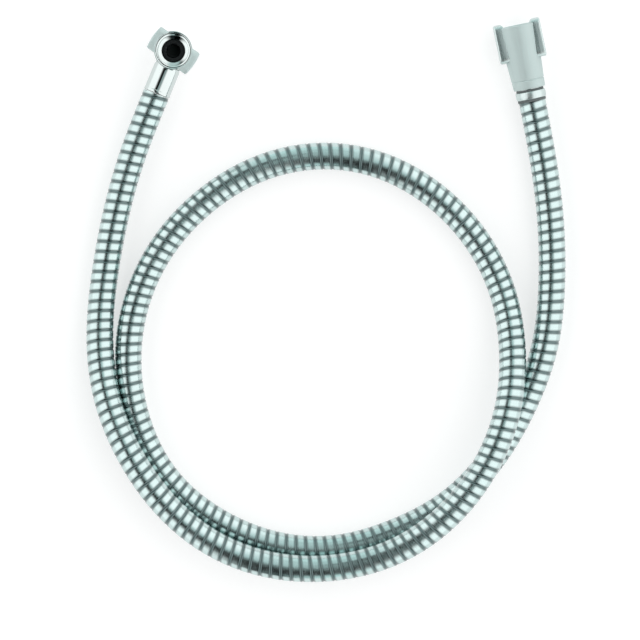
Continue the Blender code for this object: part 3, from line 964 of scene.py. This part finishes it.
def flange_corners(base, neck):
    """Return the outline of a flange with a dished lip round the washer."""
    top = base + FLANGE_THICKNESS
    lip = top + SEAT_GAP + WASHER_THICKNESS
    rim = lip - FLANGE_BELOW_WASHER
    seat = WASHER_RADIUS + WASHER_CLEARANCE
    return [
        (WATERWAY_RADIUS, top, 0.0003),
        (seat, top, 0.0001),
        (seat, lip - FLANGE_DISH_DEPTH, 0.0001),
        (FLANGE_RADIUS - FLANGE_RIM, rim, 0.0003),
        (FLANGE_RADIUS, rim, 0.0002),
        (FLANGE_RADIUS, base, 0.0003),
        (neck, base, 0.0002),
    ]


def add_washer(name, node, base, place):
    """Black rubber washer with soft edges."""
    top = base + WASHER_THICKNESS
    mesh = turned([
        (WASHER_RADIUS, top, 0.0006),
        (WASHER_RADIUS, base, 0.0004),
        (WATERWAY_RADIUS, base, 0.0003),
        (WATERWAY_RADIUS, top, 0.0005),
    ])
    piece = add_piece(name, mesh, [rubber], "hose", place)
    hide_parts(node)
    return piece


def add_collar():
    """Collar crimped round the hose behind the cone nut."""
    front = -SEAT_GAP
    back = front - COLLAR_LENGTH
    seat = front - COLLAR_FRONT
    mesh = turned([
        *((COLLAR_RADIUS - depth, front - far, reach) for depth, far, reach in COLLAR_FRONT_END),
        *((COLLAR_RADIUS - depth, back + far, reach) for depth, far, reach in COLLAR_BACK_END),
        (HOSE_RADIUS + SEAT_GAP, back, 0.0001),
        (HOSE_RADIUS + SEAT_GAP, seat, 0.0),
        (NECK_RADIUS + SEAT_GAP, seat, 0.0),
        (NECK_RADIUS + SEAT_GAP, front, 0.0001),
    ])
    # Painted shade in the collar's bore and in its two end necks
    paint_shade_inside(mesh, COLLAR_RADIUS - COLLAR_DARK_DEPTH)
    collar = add_piece("collar", mesh, [collar_metal, inside], "hose", cone_place())
    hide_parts("cone_collar")
    return collar


def add_cone_nut():
    """Long cone nut with its wings and its thread."""
    slope = (CONE_MOUTH_RADIUS - CONE_REAR_RADIUS) / CONE_LENGTH
    groove_low = CONE_REAR_RADIUS + slope * CONE_GROOVE_PLACE
    groove_high = groove_low + slope * CONE_GROOVE_WIDTH
    groove_end = CONE_GROOVE_PLACE + CONE_GROOVE_WIDTH
    neck_bore = NECK_RADIUS + TURNING_GAP
    shell = turned([
        (CONE_MOUTH_RADIUS, CONE_LENGTH, 0.0006),
        (groove_high, groove_end, 0.0002),
        (groove_high - CONE_GROOVE_DEPTH, groove_end - CONE_GROOVE_FLANK, 0.0001),
        (groove_low - CONE_GROOVE_DEPTH, CONE_GROOVE_PLACE + CONE_GROOVE_FLANK, 0.0001),
        (groove_low, CONE_GROOVE_PLACE, 0.0002),
        (CONE_REAR_RADIUS, 0.0, 0.0017),
        (neck_bore, 0.0, 0.0003),
        (neck_bore, CONE_SHOULDER, 0.0002),
        (THREAD_BORE_RADIUS, CONE_SHOULDER, 0.0002),
        (THREAD_BORE_RADIUS, CONE_LENGTH - MOUTH_CHAMFER_LENGTH, 0.0002),
        (THREAD_BORE_RADIUS + MOUTH_CHAMFER, CONE_LENGTH, 0.0004),
    ], steps=NUT_TURN_STEPS)
    nut_sizes = (CONE_REAR_RADIUS, CONE_MOUTH_RADIUS, CONE_LENGTH)
    wing_sizes = (CONE_WING_REACH, CONE_WING_LENGTH, CONE_WING_WIDTH)
    wings = [wing_mesh(side, *nut_sizes, *wing_sizes) for side in (-1, 1)]
    washer_top = CONE_FLANGE_BASE + FLANGE_THICKNESS + SEAT_GAP + WASHER_THICKNESS
    thread = thread_mesh(washer_top + THREAD_END_GAP, CONE_LENGTH - THREAD_END_GAP)
    mesh = joined([shell, *wings, thread], [0, 1, 1, 2])
    metals = [satin, wing_metal, chrome]
    nut = add_piece("cone_nut_shell", mesh, metals, "cone_nut", cone_place())
    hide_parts("cone_nut")
    return nut


def add_elbow_nut():
    """Short nut with the same wings and thread, its mouth facing up."""
    neck_bore = ELBOW_NECK_RADIUS + TURNING_GAP
    shell = turned([
        (ELBOW_NUT_MOUTH_RADIUS, ELBOW_NUT_HEIGHT, 0.0012),
        (ELBOW_NUT_REAR_RADIUS, 0.0, 0.0011),
        (neck_bore, 0.0, 0.0002),
        (neck_bore, ELBOW_NUT_LIP, 0.0002),
        (THREAD_BORE_RADIUS, ELBOW_NUT_LIP, 0.0004),
        (THREAD_BORE_RADIUS, ELBOW_NUT_HEIGHT - MOUTH_CHAMFER_LENGTH, 0.0002),
        (THREAD_BORE_RADIUS + MOUTH_CHAMFER, ELBOW_NUT_HEIGHT, 0.0004),
    ], steps=NUT_TURN_STEPS)
    nut_sizes = (ELBOW_NUT_REAR_RADIUS, ELBOW_NUT_MOUTH_RADIUS, ELBOW_NUT_HEIGHT)
    wing_sizes = (ELBOW_WING_REACH, ELBOW_WING_LENGTH, ELBOW_WING_WIDTH)
    wings = [wing_mesh(side, *nut_sizes, *wing_sizes) for side in (-1, 1)]
    washer_top = ELBOW_FLANGE_BASE + FLANGE_THICKNESS + SEAT_GAP + WASHER_THICKNESS - ELBOW_NUT_BASE
    thread = thread_mesh(washer_top + THREAD_END_GAP, ELBOW_NUT_HEIGHT - THREAD_END_GAP)
    mesh = joined([shell, *wings, thread], [2, 0, 0, 2])
    metals = [satin, wing_metal, chrome]
    place = elbow_place(ELBOW_NUT_BASE, ELBOW_NUT_TURN)
    nut = add_piece("elbow_nut_shell", mesh, metals, "elbow_nut", place)
    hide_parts("elbow_nut")


add_camera()
hose, hose_path = add_hose()
chrome = polished_chrome()
satin = satin_chrome("satin_chrome", 0.70)
wing_metal = satin_chrome("wing_chrome", 0.28)
collar_metal = satin_chrome("collar_chrome", 0.34)
rubber = black_rubber()
# Dark grey that paints the shade in the waterways, the socket and the collar's necks
inside = painted_shade_inside()

add_sleeve()
add_elbow()
socket_base = BOSS_HEIGHT - SOCKET_DEPTH + SEAT_GAP
socket_fit = SOCKET_RADIUS - SEAT_GAP
elbow_washer_base = ELBOW_FLANGE_BASE + FLANGE_THICKNESS + SEAT_GAP
add_tailpiece("elbow_tailpiece", "elbow_nipple", [
    *flange_corners(ELBOW_FLANGE_BASE, ELBOW_NECK_RADIUS),
    (ELBOW_NECK_RADIUS, ELBOW_NUT_BASE, 0.0002),
    (socket_fit, ELBOW_NUT_BASE, 0.0001),
    (socket_fit, socket_base, 0.0004),
    (WATERWAY_RADIUS, socket_base, 0.0002),
], elbow_place())
add_washer("elbow_seal", "elbow_washer", elbow_washer_base, elbow_place())
add_elbow_nut()

collar = add_collar()
tail_base = -SEAT_GAP - COLLAR_FRONT
cone_washer_base = CONE_FLANGE_BASE + FLANGE_THICKNESS + SEAT_GAP
cone_tail = add_tailpiece("cone_tailpiece", "cone_nipple", [
    *flange_corners(CONE_FLANGE_BASE, NECK_RADIUS),
    (NECK_RADIUS, tail_base, 0.0004),
    (WATERWAY_RADIUS, tail_base, 0.0002),
], cone_place())
cone_seal = add_washer("cone_seal", "cone_washer", cone_washer_base, cone_place())
cone_nut = add_cone_nut()

light_world()
add_floor()
